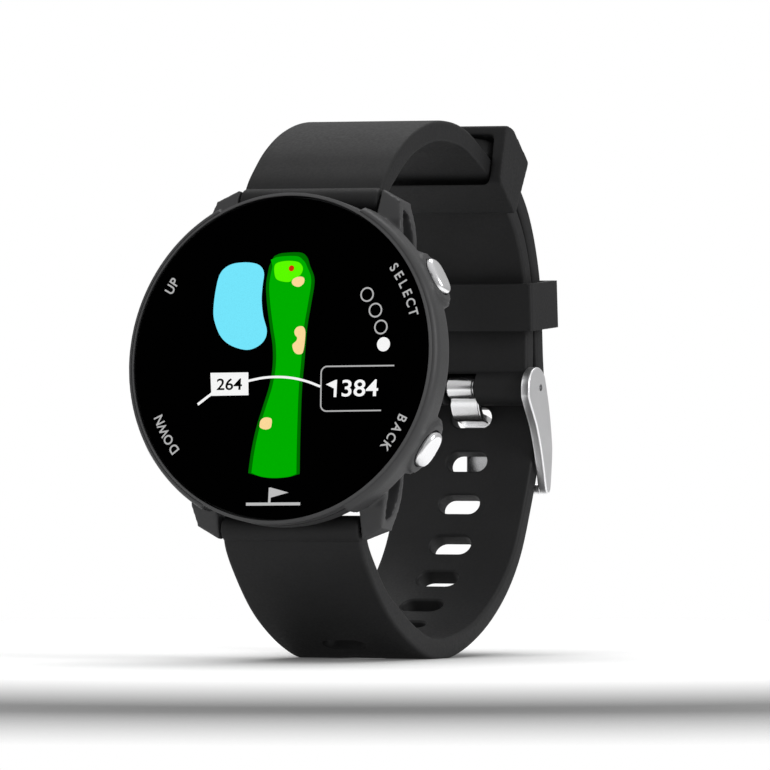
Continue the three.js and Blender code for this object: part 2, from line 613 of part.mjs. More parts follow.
const plateCorners = [
  ...arc(FRAME_TOP, FRAME_TOP_R, 10, 190, 6),
  ...FRAME_EDGES.map(([y, z]) => corner(y, z)),
];
const plateCurve = new THREE.CatmullRomCurve3(plateCorners.map((p) => new THREE.Vector3(0, p.x, p.y)), true);
const plateOutline = plateCurve.getPoints(FRAME_STEPS).slice(0, -1).map((p) => corner(p.y, p.z));
let frame = prismX(plateOutline, FRAME_IN, FRAME_OUT)
  .add(prismX(plateOutline, -FRAME_OUT, -FRAME_IN))
  .add(rodX(FRAME_BAR_R, -FRAME_IN - GAP, FRAME_IN + GAP, FRAME_BAR.x, FRAME_BAR.y));
frame = frame.subtract(rodX(
  BAR_PIN_R + GAP, -FRAME_IN - BUCKLE_PIN - GAP, FRAME_IN + BUCKLE_PIN + GAP, PIVOT.x, PIVOT.y));
piece('buckle_frame', frame, LOOP, STEEL_LOOK);
const buckleBar = rodX(BAR_TUBE_R, -FRAME_IN + GAP, FRAME_IN - GAP, PIVOT.x, PIVOT.y)
  .add(rodX(BAR_PIN_R, -FRAME_IN - BUCKLE_PIN, FRAME_IN + BUCKLE_PIN, PIVOT.x, PIVOT.y));
piece('buckle_bar', buckleBar, LOOP, STEEL_LOOK);
const tongueLine = centreLine(TONGUE_POINTS, TONGUE_STEPS, 1);
const tongue = band(tongueLine.spots, -TONGUE_T / 2, TONGUE_T / 2, TONGUE_HALF)
  .add(rodX(KNUCKLE_R, -TONGUE_HALF, TONGUE_HALF, PIVOT.x, PIVOT.y, 2 * SEG_SMALL))
  .subtract(rodX(TUBE_BORE_R, -CASE_R, CASE_R, PIVOT.x, PIVOT.y));
piece('buckle_tongue', tongue, LOOP, STEEL_LOOK);

// ---- keepers ----
const turnedPoint = (centre, angle, a, n) => corner(
  centre.x + a * Math.cos(angle) - n * Math.sin(angle), centre.y + a * Math.sin(angle) + n * Math.cos(angle));
const hexOutline = KEEPER_OUTLINE.map(([a, n]) => turnedPoint(KEEPER_CENTRE, KEEPER_AXIS, a, n));
const corridor = band(
  shortLine.spots, -STRAP_T / 2 - GAP, LAYER + STRAP_T / 2 + GAP, KEEPER_BORE_HALF);
const hexKeeper = prismX(hexOutline, -KEEPER_HALF, KEEPER_HALF).subtract(corridor);
piece('locking_keeper', hexKeeper, LOOP, STRAP_LOOK);

const loopSpot = backSpot(shortLine, LOOP_Z);
const loopCentre = shifted(loopSpot, LAYER / 2);
const loopAngle = Math.atan2(loopSpot.t.y, loopSpot.t.x);
const slab = (height, thick) => [[-1, -1], [1, -1], [1, 1], [-1, 1]]
  .map(([a, n]) => turnedPoint(loopCentre, loopAngle, (a * height) / 2, (n * thick) / 2));
const loopKeeper = prismX(slab(LOOP_HEIGHT, LOOP_BORE + 2 * LOOP_WALL), -LOOP_HALF, LOOP_HALF)
  .subtract(prismX(slab(2 * LOOP_HEIGHT, LOOP_BORE), -LOOP_HALF + LOOP_WALL, LOOP_HALF - LOOP_WALL));
piece('sliding_keeper', loopKeeper, LOOP, STRAP_LOOK);

export default group;
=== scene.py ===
import math

import bmesh
import bpy
import numpy as np
from mathutils import Matrix, Vector


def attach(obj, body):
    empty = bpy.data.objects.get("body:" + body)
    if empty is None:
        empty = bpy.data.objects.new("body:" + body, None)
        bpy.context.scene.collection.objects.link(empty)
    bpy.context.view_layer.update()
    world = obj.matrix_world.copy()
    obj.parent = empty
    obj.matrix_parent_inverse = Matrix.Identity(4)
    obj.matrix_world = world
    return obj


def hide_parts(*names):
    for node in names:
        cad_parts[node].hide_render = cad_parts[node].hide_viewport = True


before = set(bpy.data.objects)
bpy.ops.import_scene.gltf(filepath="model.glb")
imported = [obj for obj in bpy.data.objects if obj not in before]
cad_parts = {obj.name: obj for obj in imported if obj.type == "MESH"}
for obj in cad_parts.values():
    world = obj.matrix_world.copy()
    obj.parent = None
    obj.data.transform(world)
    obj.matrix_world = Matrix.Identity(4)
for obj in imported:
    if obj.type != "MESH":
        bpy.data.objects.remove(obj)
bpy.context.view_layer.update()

# Golf GPS watch. Shapes are written in millimetres in two frames and scaled to metres when placed:
# the head frame (x across, y up the dial, z out of the glass, glass top at 0) and
# the loop frame (x across, y and z measured from the centre of the glass).
MM = 0.001
GLASS = Vector((0.0, -32.25, 42.7))
TILT = math.radians(7.7)
HEAD = Matrix.Translation(GLASS) @ Matrix.Rotation(math.pi / 2 - TILT, 4, "X")
LOOP = Matrix.Translation(GLASS)
SIGNS = (1, -1)

# ---- camera ----
camera = bpy.data.objects.new("camera", bpy.data.cameras.new("camera"))
bpy.context.scene.collection.objects.link(camera)
camera.data.lens = 467.5
camera.data.sensor_width = 36
camera.location = (0.61403, -1.28895, 0.03890)
camera.rotation_euler = (math.radians(90), 0, math.radians(25.44))
bpy.context.scene.camera = camera
bpy.context.scene.view_settings.view_transform = "Standard"


# ======================= mesh tools =======================
def make(name, verts, faces):
    mesh = bpy.data.meshes.new(name)
    mesh.from_pydata([tuple(v) for v in verts], [], faces)
    mesh.validate()
    obj = bpy.data.objects.new(name, mesh)
    bpy.context.scene.collection.objects.link(obj)
    return obj


def face_outwards(obj):
    bm = bmesh.new()
    bm.from_mesh(obj.data)
    bmesh.ops.recalc_face_normals(bm, faces=bm.faces)
    bm.to_mesh(obj.data)
    bm.free()
    return obj


def settle(obj):
    """Applies the modifiers of an object."""
    bpy.context.view_layer.update()
    graph = bpy.context.evaluated_depsgraph_get()
    old = obj.data
    obj.data = bpy.data.meshes.new_from_object(obj.evaluated_get(graph))
    obj.modifiers.clear()
    bpy.data.meshes.remove(old)
    return obj


def loft(name, rings, closed=False):
    """Skin over rings of equal length; closed joins the last ring to the first."""
    count = len(rings[0])
    verts = [p for ring in rings for p in ring]
    faces = []
    last = len(rings) if closed else len(rings) - 1
    for i in range(last):
        a, b = i * count, ((i + 1) % len(rings)) * count
        for k in range(count):
            m = (k + 1) % count
            faces.append((a + k, a + m, b + m, b + k))
    if not closed:
        faces.append(tuple(reversed(range(count))))
        faces.append(tuple(range(len(verts) - count, len(verts))))
    return face_outwards(make(name, verts, faces))


def revolve(name, profile, steps=224):
    """Closed body about z from (radius, z) corners; corners on the axis become poles."""
    rings = []
    for k in range(steps):
        a = 2 * math.pi * k / steps
        rings.append([(r * math.cos(a), r * math.sin(a), z) for r, z in profile])
    obj = loft(name, rings, closed=True)
    bm = bmesh.new()
    bm.from_mesh(obj.data)
    bmesh.ops.remove_doubles(bm, verts=bm.verts, dist=1e-5)
    bmesh.ops.dissolve_degenerate(bm, edges=bm.edges, dist=1e-5)
    bmesh.ops.recalc_face_normals(bm, faces=bm.faces)
    bm.to_mesh(obj.data)
    bm.free()
    return obj


def prism(name, outline, low, high, axis="z"):
    """Outline swept along an axis: (x, y) outlines along z, (y, z) outlines along x."""
    if axis == "z":
        rings = [[(a, b, h) for a, b in outline] for h in (low, high)]
    else:
        rings = [[(h, a, b) for a, b in outline] for h in (low, high)]
    return loft(name, rings)


def circle(x, y, radius, count=40):
    return [(x + radius * math.cos(2 * math.pi * k / count), y + radius * math.sin(2 * math.pi * k / count))
            for k in range(count)]


def rod(name, radius, low, high, y, z, steps=64):
    return prism(name, circle(y, z, radius, steps), low, high, "x")


def block(name, low, high):
    outline = [(low[0], low[1]), (high[0], low[1]), (high[0], high[1]), (low[0], high[1])]
    return prism(name, outline, low[2], high[2])


def combine(obj, other, operation):
    modifier = obj.modifiers.new("combine", "BOOLEAN")
    modifier.operation = operation
    modifier.solver = "MANIFOLD"
    modifier.object = other
    settle(obj)
    bpy.data.objects.remove(other)
    return obj


def cut(obj, *others):
    for other in others:
        combine(obj, other, "DIFFERENCE")
    return obj


def join(obj, *others):
    for other in others:
        combine(obj, other, "UNION")
    return obj


def rim(obj, width, segments=3, limit=50):
    """Rounds every edge sharper than the limit."""
    modifier = obj.modifiers.new("rim", "BEVEL")
    modifier.width = width
    modifier.segments = segments
    modifier.limit_method = "ANGLE"
    modifier.angle_limit = math.radians(limit)
    modifier.use_clamp_overlap = True
    return settle(obj)


def soften(obj, voxel, rounds, keep=1.0):
    """Moulded look: all edges rounded by a remesh and a smoothing."""
    remesh = obj.modifiers.new("remesh", "REMESH")
    remesh.mode = "VOXEL"
    remesh.voxel_size = voxel
    smooth = obj.modifiers.new("smooth", "SMOOTH")
    smooth.factor = 0.5
    smooth.iterations = rounds
    if keep < 1:
        thin = obj.modifiers.new("thin", "DECIMATE")
        thin.ratio = keep
    return settle(obj)


def fillet(corners, radius, steps=4):
    """Polygon with rounded corners; radius is one number or one per corner."""
    radii = [radius] * len(corners) if isinstance(radius, (int, float)) else radius
    result = []
    for i, p in enumerate(corners):
        here = Vector(p)
        before = Vector(corners[i - 1]) - here
        after = Vector(corners[(i + 1) % len(corners)]) - here
        reach = min(radii[i], 0.45 * before.length, 0.45 * after.length)
        if reach < 1e-6:
            result.append(tuple(here))
            continue
        a = here + before.normalized() * reach
        b = here + after.normalized() * reach
        for k in range(steps + 1):
            t = k / steps
            result.append(tuple(a * (1 - t) ** 2 + here * 2 * t * (1 - t) + b * t ** 2))
    return result


def stadium(length, width, grow=0.0, steps=12):
    radius = width / 2 + grow
    reach = (length - width) / 2
    points = []
    for sign in SIGNS:
        for k in range(steps + 1):
            a = -math.pi / 2 + math.pi * k / steps
            points.append((sign * (reach + radius * math.cos(a)), sign * radius * math.sin(a)))
    return points


def between(p0, p1, p2, p3, steps):
    """Points of a smooth curve from p1 up to p2."""
    points = []
    for k in range(steps):
        t = k / steps
        points.append(tuple(0.5 * (2 * p1 + (p2 - p0) * t + (2 * p0 - 5 * p1 + 4 * p2 - p3) * t ** 2
                                   + (3 * p1 - p0 - 3 * p2 + p3) * t ** 3)))
    return points


def smooth_closed(corners, steps=6):
    """Closed smooth curve through points."""
    points = [Vector(c) for c in corners]
    count = len(points)
    result = []
    for i in range(count):
        result += between(*(points[(i + k - 1) % count] for k in range(4)), steps)
    return result


def smooth_open(corners, steps=6):
    """Open smooth curve through points."""
    points = [Vector(c) for c in corners]
    points = [2 * points[0] - points[1]] + points + [2 * points[-1] - points[-2]]
    result = []
    for i in range(1, len(points) - 2):
        result += between(*points[i - 1:i + 3], steps)
    return result + [tuple(points[-2])]


class Line:
    """Centre line in the loop plane: an arc-length curve through points, with outward normals."""

    def __init__(self, corners, side):
        points = [np.array(c, float) for c in corners]
        points = [2 * points[0] - points[1]] + points + [2 * points[-1] - points[-2]]
        dense = []
        for i in range(1, len(points) - 2):
            p0, p1, p2, p3 = points[i - 1:i + 3]
            pairs = ((p0, p1), (p1, p2), (p2, p3))
            d0, d1, d2 = (max(np.linalg.norm(b - a) ** 0.5, 1e-4) for a, b in pairs)
            m1 = ((p1 - p0) / d0 - (p2 - p0) / (d0 + d1) + (p2 - p1) / d1) * d1
            m2 = ((p2 - p1) / d1 - (p3 - p1) / (d1 + d2) + (p3 - p2) / d2) * d1
            for t in np.linspace(0, 1, 24, endpoint=False):
                dense.append((2 * t ** 3 - 3 * t ** 2 + 1) * p1 + (t ** 3 - 2 * t ** 2 + t) * m1
                             + (3 * t ** 2 - 2 * t ** 3) * p2 + (t ** 3 - t ** 2) * m2)
        dense.append(points[-2])
        self.dense = np.array(dense)
        steps = np.linalg.norm(np.diff(self.dense, axis=0), axis=1)
        self.run = np.concatenate([[0], np.cumsum(steps)])
        self.length = self.run[-1]
        self.side = side

    def at(self, share):
        """Point, tangent and outward normal at a share of the length."""
        def place(s):
            s = min(max(s, 0), self.length)
            return Vector([np.interp(s, self.run, self.dense[:, i]) for i in (0, 1)])
        s = share * self.length
        tangent = (place(s + 0.2) - place(s - 0.2)).normalized()
        return place(s), tangent, Vector((-tangent.y, tangent.x)) * self.side

    def share_at_height(self, z):
        low, high = 0.5, 1.0
        rising = self.at(high)[0].y > self.at(low)[0].y
        for _ in range(40):
            middle = (low + high) / 2
            if (self.at(middle)[0].y > z) == rising:
                high = middle
            else:
                low = middle
        return low


def band(name, line, count, section, start=0.0, end=1.0):
    """Sweeps a cross section of (x, n) points; section(share) may change along the line."""
    rings = []
    for i in range(count + 1):
        share = start + (end - start) * i / count
        p, _, n = line.at(share)
        rings.append([(x, p.x + n.x * h, p.y + n.y * h) for x, h in section(share)])
    return loft(name, rings)


def place(obj, frame_matrix, body, slot, material, *nodes, angle=35, weighted=True):
    """Scales a finished mesh to metres, sets it in its frame and hands it to its body."""
    obj.data.transform(Matrix.Scale(MM, 4) @ frame_matrix)
    obj.data.materials.clear()
    obj.data.materials.append(material)
    for polygon in obj.data.polygons:
        polygon.use_smooth = True
        polygon.material_index = 0
    obj.data.set_sharp_from_angle(angle=math.radians(angle))
    if weighted:
        modifier = obj.modifiers.new("normals", "WEIGHTED_NORMAL")
        modifier.keep_sharp = True
    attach(obj, body)
    if nodes:
        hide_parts(*nodes)
    return obj


# ======================= materials =======================
def nodes_of(name):
    material = bpy.data.materials.new(name)
    material.use_nodes = True
    tree = material.node_tree
    shader = tree.nodes["Principled BSDF"]
    coords = tree.nodes.new("ShaderNodeTexCoord")
    return material, tree, shader, coords


def noise(tree, coords, scale, detail=2.0, stretch=None):
    texture = tree.nodes.new("ShaderNodeTexNoise")
    texture.inputs["Scale"].default_value = scale
    texture.inputs["Detail"].default_value = detail
    if stretch:
        mapping = tree.nodes.new("ShaderNodeMapping")
        mapping.inputs["Scale"].default_value = stretch
        tree.links.new(coords.outputs["Object"], mapping.inputs["Vector"])
        tree.links.new(mapping.outputs["Vector"], texture.inputs["Vector"])
    else:
        tree.links.new(coords.outputs["Object"], texture.inputs["Vector"])
    return texture.outputs["Fac"]


def ramp(tree, value, low, high, start=0.35, end=0.65):
    node = tree.nodes.new("ShaderNodeValToRGB")
    node.color_ramp.elements[0].position = start
    node.color_ramp.elements[1].position = end
    node.color_ramp.elements[0].color = (*low, 1)
    node.color_ramp.elements[1].color = (*high, 1)
    tree.links.new(value, node.inputs["Fac"])
    return node.outputs["Color"]


def spread(tree, value, low, high):
    node = tree.nodes.new("ShaderNodeMapRange")
    node.inputs["From Min"].default_value = 0.3
    node.inputs["From Max"].default_value = 0.7
    node.inputs["To Min"].default_value = low
    node.inputs["To Max"].default_value = high
    tree.links.new(value, node.inputs["Value"])
    return node.outputs["Result"]


def surface(name, colour, rough, metal=0.0, vary=0.08, patch=250.0, grain=3000.0, relief=0.02,
            stretch=None, specular=0.5, coat=0.0, coat_rough=0.1, sheen=0.0, rough_vary=0.06):
    """Moulded or metal surface: cloudy colour, uneven gloss and a fine grain in the relief."""
    material, tree, shader, coords = nodes_of(name)
    cloud = noise(tree, coords, patch, 3.0)
    low = [c * (1 - vary) for c in colour]
    high = [c * (1 + vary) for c in colour]
    tree.links.new(ramp(tree, cloud, low, high), shader.inputs["Base Color"])
    fine = noise(tree, coords, grain, 3.0, stretch)
    tree.links.new(spread(tree, fine, rough - rough_vary, rough + rough_vary), shader.inputs["Roughness"])
    bump = tree.nodes.new("ShaderNodeBump")
    bump.inputs["Strength"].default_value = 0.6
    bump.inputs["Distance"].default_value = relief * MM
    tree.links.new(fine, bump.inputs["Height"])
    tree.links.new(bump.outputs["Normal"], shader.inputs["Normal"])
    shader.inputs["Metallic"].default_value = metal
    shader.inputs["Specular IOR Level"].default_value = specular
    shader.inputs["Coat Weight"].default_value = coat
    shader.inputs["Coat Roughness"].default_value = coat_rough
    shader.inputs["Sheen Weight"].default_value = sheen
    return material


def lit(name, colour, strength=1.0):
    """Lit display ink with a faint cell structure."""
    material, tree, shader, coords = nodes_of(name)
    cells = tree.nodes.new("ShaderNodeTexVoronoi")
    cells.inputs["Scale"].default_value = 7000.0
    tree.links.new(coords.outputs["Object"], cells.inputs["Vector"])
    shade = [c * 0.93 for c in colour]
    tree.links.new(ramp(tree, cells.outputs["Distance"], colour, shade, 0.2, 0.8),
                   shader.inputs["Emission Color"])
    shader.inputs["Base Color"].default_value = (0, 0, 0, 1)
    shader.inputs["Emission Strength"].default_value = strength
    shader.inputs["Roughness"].default_value = 0.2
    shader.inputs["Specular IOR Level"].default_value = 0
    return material


SILICONE = surface("silicone", (0.012, 0.012, 0.0124), 0.60, vary=0.10, patch=120, grain=2600, relief=0.012,
                   specular=0.22)
CASE = surface("case_plastic", (0.034, 0.034, 0.035), 0.50, vary=0.06, patch=200, grain=4200, relief=0.014,
               specular=0.35)
BEZEL = surface("bezel_plastic", (0.036, 0.036, 0.037), 0.47, vary=0.05, patch=200, grain=4200, relief=0.008,
                specular=0.45)
POLISHED = surface("polished_steel", (0.86, 0.86, 0.87), 0.20, metal=1.0, vary=0.02, patch=400, grain=2500,
                   relief=0.0006, rough_vary=0.02)
SATIN = surface("satin_steel", (0.88, 0.88, 0.89), 0.36, metal=1.0, vary=0.02, patch=150, grain=2500,
                  relief=0.0006, rough_vary=0.015)
PLAIN_STEEL = surface("plain_steel", (0.45, 0.45, 0.46), 0.30, metal=1.0, vary=0.06, grain=2500, relief=0.004)
LENS = surface("lens_black", (0.0001, 0.0001, 0.00012), 0.06, vary=0.2, patch=60, grain=90, relief=0.0,
               specular=0.004, rough_vary=0.02)
BOARD = surface("board_mask", (0.012, 0.07, 0.03), 0.42, vary=0.3, patch=900, grain=2500, relief=0.02,
                coat=0.3)
CAN = surface("tin_can", (0.55, 0.55, 0.56), 0.32, metal=1.0, vary=0.05, grain=1800, relief=0.006)
CHIP = surface("chip_resin", (0.012, 0.012, 0.013), 0.55, vary=0.1, grain=3500, relief=0.012)
CERAMIC = surface("patch_ceramic", (0.42, 0.33, 0.16), 0.45, vary=0.08, grain=2500, relief=0.010)
FOIL = surface("cell_foil", (0.52, 0.53, 0.55), 0.34, metal=0.9, vary=0.06, grain=700, relief=0.05)
SEAL = surface("seal_rubber", (0.10, 0.02, 0.015), 0.7, vary=0.12, grain=2200, relief=0.02)
GOLD = surface("gold_plate", (0.80, 0.56, 0.22), 0.18, metal=1.0, vary=0.04, grain=2000, relief=0.003)
SCREEN = surface("screen_panel", (0.003, 0.003, 0.004), 0.25, vary=0.2, grain=7000, relief=0.004)

# CAD solids that stay, with the look of what they are.
KEPT = {
    "display_panel": SCREEN, "display_carrier": CHIP, "main_board": BOARD, "radio_shield": CAN,
    "processor_chip": CHIP, "gnss_antenna": CERAMIC, "battery_cell": FOIL, "vibration_motor": CAN,
    "back_gasket": SEAL, "lug_bar_top": PLAIN_STEEL, "lug_bar_bottom": PLAIN_STEEL,
    "release_lever_top": PLAIN_STEEL, "release_lever_bottom": PLAIN_STEEL, "buckle_bar": PLAIN_STEEL,
}
for index in range(1, 5):
    KEPT["back_screw_%d" % index] = SATIN
    KEPT["charge_contact_%d" % index] = GOLD
for key in ("up", "down", "select", "back"):
    KEPT["button_seal_" + key] = SEAL
    KEPT["button_switch_" + key] = CAN
for node, look in KEPT.items():
    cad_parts[node].material_slots[0].material = look

# ======================= case =======================
# Head frame: radii, heights along the dial and depths below the glass.
RING_STEPS, BORE_STEPS, HOLE_STEPS = 320, 96, 40
BEZEL_IN, BEZEL_R, BEZEL_DROP = 22.95, 23.42, 1.9
SEAT_DEPTH = 2.2
CASE_R, CASE_FACE_R = 24.1, 22.72
CASE_PROFILE = [(0, -SEAT_DEPTH), (CASE_FACE_R, -SEAT_DEPTH), (CASE_FACE_R, -0.08), (BEZEL_R, -0.14),
                (23.76, -0.3), (24.0, -0.62), (24.14, -1.2), (CASE_R, -4.2), (19.9, -11.2), (0, -11.2)]
CAVITY_PROFILE = [(0, 1), (21.2, 1), (21.2, -4.4), (18.2, -9), (0, -9)]
CAVITY_SHELL = [(0, 0), (22, 0), (22, -4.4), (18.9, -9.6), (0, -9.6)]
CAVITY_FLAT, CAVITY_FLAT_HALF, CAVITY_FLAT_TOP, CAVITY_FLAT_LOW = 17.2, 19, -3.5, -9.1
OPENING_R, OPENING_TOP, THROAT_R, THROAT_TOP = 17.9, -10.3, 15.4, -8
OVER, UNDER = 1, -12

LUG_SIDE = [(14, 4.7), (20.3, 4.9), (24.9, 6.6), (24.7, 7.8), (23.1, 9.5), (16.6, 10.4), (14, 10.4)]
LUG_PLAN = [(0, 14), (15.3, 14), (15.3, 18), (15.1, 20), (14.3, 23.1), (11.05, 24.9), (0, 24.9)]
LUG_IN, LUG_OUT, LUG_LOW = 11.05, 15.3, -22
POCKET = [(15.6, 5.7), (20.2, 5.9), (22, 6.8), (21.2, 8.2), (16.4, 9.4), (15.6, 9.4)]
POCKET_DEPTH, POCKET_CORNER = 2.0, 0.5
WAIST_IN, WAIST_OUT = 12, 30
BAY_V, BAY_OUT, BAY_TOP, BAY_LOW = 19.8, 43, -4.6, -28
BAR_V, BAR_W = 23.2, 7.7
BAR_HOLE_R, BAR_HOLE_IN, BAR_HOLE_OUT = 0.75, 10, 12.55

BUTTON_ANGLE = math.radians(29.8)
BUTTONS = {"select": BUTTON_ANGLE, "back": -BUTTON_ANGLE,
           "up": math.pi - BUTTON_ANGLE, "down": math.pi + BUTTON_ANGLE}
BUTTON_DEPTH = 5.1
BUTTON_LENGTH, BUTTON_WIDTH = 5.5, 3.9
# Inset from the cap's outline and distance from the dial's centre, ring by ring over the dome.
CAP_RINGS = ((0, 23.4), (0, 24.5), (0.05, 24.75), (0.16, 24.95), (0.34, 25.08), (0.6, 25.15), (1.0, 25.18),
             (1.5, 25.2))
STEM_R, STEM_IN, STEM_OUT = 0.8, 20.6, 23.9
STEM_WAY_R, STEM_WAY_IN, STEM_WAY_OUT = 1.1, 19.6, 24
SEAL_SEAT_R, SEAL_SEAT_OUT = 1.9, 21.7
RECESS_FLOOR, RECESS_TOP, RECESS_GAP = 22.5, 26, 0.2
# Length, width and outer distance of the two steps of a boss.
BOSS_IN = 20.5
BOSSES = ((9.0, 5.2, 23.8), (8.0, 4.2, 24.3))


def drum(name, radius, top, low, steps=BORE_STEPS):
    return revolve(name, [(0, top), (radius, top), (radius, low), (0, low)], steps)


def on_side(angle):
    """Frame on the case side: x along the rim, y towards the glass, z outwards."""
    out = Vector((math.cos(angle), math.sin(angle), 0))
    depth = Vector((0, 0, 1))
    along = depth.cross(out)
    frame_matrix = Matrix((along, depth, out)).transposed().to_4x4()
    frame_matrix.translation = -depth * BUTTON_DEPTH
    return frame_matrix


def side_prism(name, outline, low, high, angle):
    obj = prism(name, outline, low, high)
    obj.data.transform(on_side(angle))
    return obj


def side_rod(name, radius, low, high, angle):
    return side_prism(name, circle(0, 0, radius, 48), low, high, angle)


def mirrored(pairs, v_sign):
    return [(v * v_sign, -w) for v, w in pairs]


def lug(xs, vs):
    low, high = sorted((xs * LUG_IN, xs * LUG_OUT))
    side = prism("lug", mirrored(LUG_SIDE, vs), low, high, "x")
    keep = prism("keep", [(x * xs, v * vs) for x, v in LUG_PLAN], LUG_LOW, 0)
    return combine(side, keep, "INTERSECT")


def waist(vs):
    """What stands past the bezel between two lugs."""
    low, high = sorted((vs * WAIST_IN, vs * WAIST_OUT))
    outside = block("waist", (-LUG_IN, low, UNDER), (LUG_IN, high, OVER))
    return cut(outside, drum("keep", BEZEL_R, OVER + 1, UNDER - 1, 224))


def cavity_flat(vs):
    """Wall left standing in the cavity behind a strap end."""
    low, high = sorted((vs * CAVITY_FLAT, vs * 21))
    wall = block("flat", (-CAVITY_FLAT_HALF, low, CAVITY_FLAT_LOW), (CAVITY_FLAT_HALF, high, CAVITY_FLAT_TOP))
    return combine(wall, revolve("round", CAVITY_SHELL, BORE_STEPS), "INTERSECT")


def case_body():
    case = revolve("case_body", CASE_PROFILE)
    for vs in SIGNS:
        cut(case, waist(vs))
    for xs in SIGNS:
        for vs in SIGNS:
            join(case, lug(xs, vs))
    for angle in BUTTONS.values():
        for length, width, outer in BOSSES:
            join(case, side_prism("boss", stadium(length, width), BOSS_IN, outer, angle))
    for vs in SIGNS:
        low, high = sorted((vs * BAY_V, vs * BAY_OUT))
        cut(case, block("bay", (-LUG_IN, low, BAY_LOW), (LUG_IN, high, BAY_TOP)))
        for xs in SIGNS:
            low, high = sorted((xs * (LUG_OUT - POCKET_DEPTH), xs * (LUG_OUT + 1)))
            cut(case, prism("pocket", fillet(mirrored(POCKET, vs), POCKET_CORNER), low, high, "x"))
    soften(case, 0.22, 4, 0.6)
    cut(case, drum("seat", BEZEL_R, OVER, -SEAT_DEPTH, RING_STEPS))
    cut(case, revolve("cavity", CAVITY_PROFILE, BORE_STEPS))
    for vs in SIGNS:
        join(case, cavity_flat(vs))
    cut(case, drum("opening", OPENING_R, OPENING_TOP, UNDER, 128), drum("throat", THROAT_R, THROAT_TOP, -11))
    recess = stadium(BUTTON_LENGTH, BUTTON_WIDTH, RECESS_GAP)
    for angle in BUTTONS.values():
        cut(case, side_prism("recess", recess, RECESS_FLOOR, RECESS_TOP, angle),
            side_rod("way", STEM_WAY_R, STEM_WAY_IN, STEM_WAY_OUT, angle),
            side_rod("seat", SEAL_SEAT_R, STEM_WAY_IN, SEAL_SEAT_OUT, angle))
    for vs in SIGNS:
        for xs in SIGNS:
            low, high = sorted((xs * BAR_HOLE_IN, xs * BAR_HOLE_OUT))
            cut(case, rod("hole", BAR_HOLE_R, low, high, vs * BAR_V, -BAR_W, 32))
    place(case, HEAD, "watch", "case_plastic", CASE, "mid_case", angle=40, weighted=False)


def bezel_and_lens():
    corners = [(BEZEL_IN, 0.05), (23.0, 0.05), (23.3, -0.16), (BEZEL_R, -0.25), (BEZEL_R, -BEZEL_DROP),
               (BEZEL_IN, -BEZEL_DROP)]
    bezel = revolve("bezel", fillet(corners, [0.02, 0.02, 0.06, 0.02, 0.1, 0.02], 3), RING_STEPS)
    place(bezel, HEAD, "watch", "bezel_plastic", BEZEL, "bezel_ring")
    radius, depth, pole = 22.65, -1.2, 0.01
    edge = fillet([(pole, 0), (radius, 0), (radius, depth), (pole, depth)], 0.12, 3)
    lens = revolve("lens", [(0, 0)] + edge + [(0, depth)], RING_STEPS)
    place(lens, HEAD, "watch", "cover_glass", LENS, "lens_glass")


COVER_R, COVER_TOP, COVER_BACK = 17.6, -10.6, -12.3
COVER_PAD_R, COVER_PAD = 12.8, -12.1
SCREW_CIRCLE, SCREW_ANGLES = 16.2, (45, 135, 225, 315)
SCREW_HOLES = ((1.2, -11.3), (0.8, -9))
CONTACT_PITCH, CONTACT_V, CONTACT_HOLE_R = 2.6, -12.4, 1.0
COVER_OVER, COVER_UNDER = -9, -13


def back_plate():
    edge = fillet([(COVER_R, -10.9), (COVER_R, COVER_BACK), (13.5, COVER_BACK)], 0.6, 5)
    cover = revolve("back_plate", [(0, COVER_TOP), (COVER_R, COVER_TOP)] + edge + [
        (13.0, COVER_BACK), (COVER_PAD_R, COVER_PAD), (0, COVER_PAD)], 256)
    for angle in SCREW_ANGLES:
        a = math.radians(angle)
        spot = Matrix.Translation((SCREW_CIRCLE * math.cos(a), SCREW_CIRCLE * math.sin(a), 0))
        for radius, top in SCREW_HOLES:
            hole = drum("hole", radius, top, COVER_UNDER, HOLE_STEPS)
            hole.data.transform(spot)
            cut(cover, hole)
    for i in (-1.5, -0.5, 0.5, 1.5):
        hole = drum("hole", CONTACT_HOLE_R, COVER_OVER, COVER_UNDER, HOLE_STEPS)
        hole.data.transform(Matrix.Translation((i * CONTACT_PITCH, CONTACT_V, 0)))
        cut(cover, hole)
    place(cover, HEAD, "watch", "case_plastic", CASE, "back_cover")


def oval(a, b, power=2.5, count=72):
    """Closed outline between an ellipse and a rounded rectangle."""
    points = []
    for k in range(count):
        c, s = math.cos(2 * math.pi * k / count), math.sin(2 * math.pi * k / count)
        x, y = a * abs(c) ** (2 / power), b * abs(s) ** (2 / power)
        points.append((math.copysign(x, c), math.copysign(y, s)))
    return points


def button_cap(key, angle):
    """Domed oval cap on a stem."""
    rings = []
    for inset, height in CAP_RINGS:
        outline = oval(BUTTON_LENGTH / 2 - inset, BUTTON_WIDTH / 2 - inset)
        rings.append([(x, y, height) for x, y in outline])
    cap = loft("button_cap_" + key, rings)
    cap.data.transform(on_side(angle))
    join(cap, side_rod("stem", STEM_R, STEM_IN, STEM_OUT, angle))
    place(cap, HEAD, "button_%s_body" % key, "polished_steel", POLISHED, "button_" + key)


case_body()
bezel_and_lens()
back_plate()
for key, angle in BUTTONS.items():
    button_cap(key, angle)

# ======================= strap loop =======================
def bar_point(vs):
    """Axis of a lug bar in the loop frame."""
    return (vs * BAR_V * math.sin(TILT) + BAR_W * math.cos(TILT),
            vs * BAR_V * math.cos(TILT) - BAR_W * math.sin(TILT))


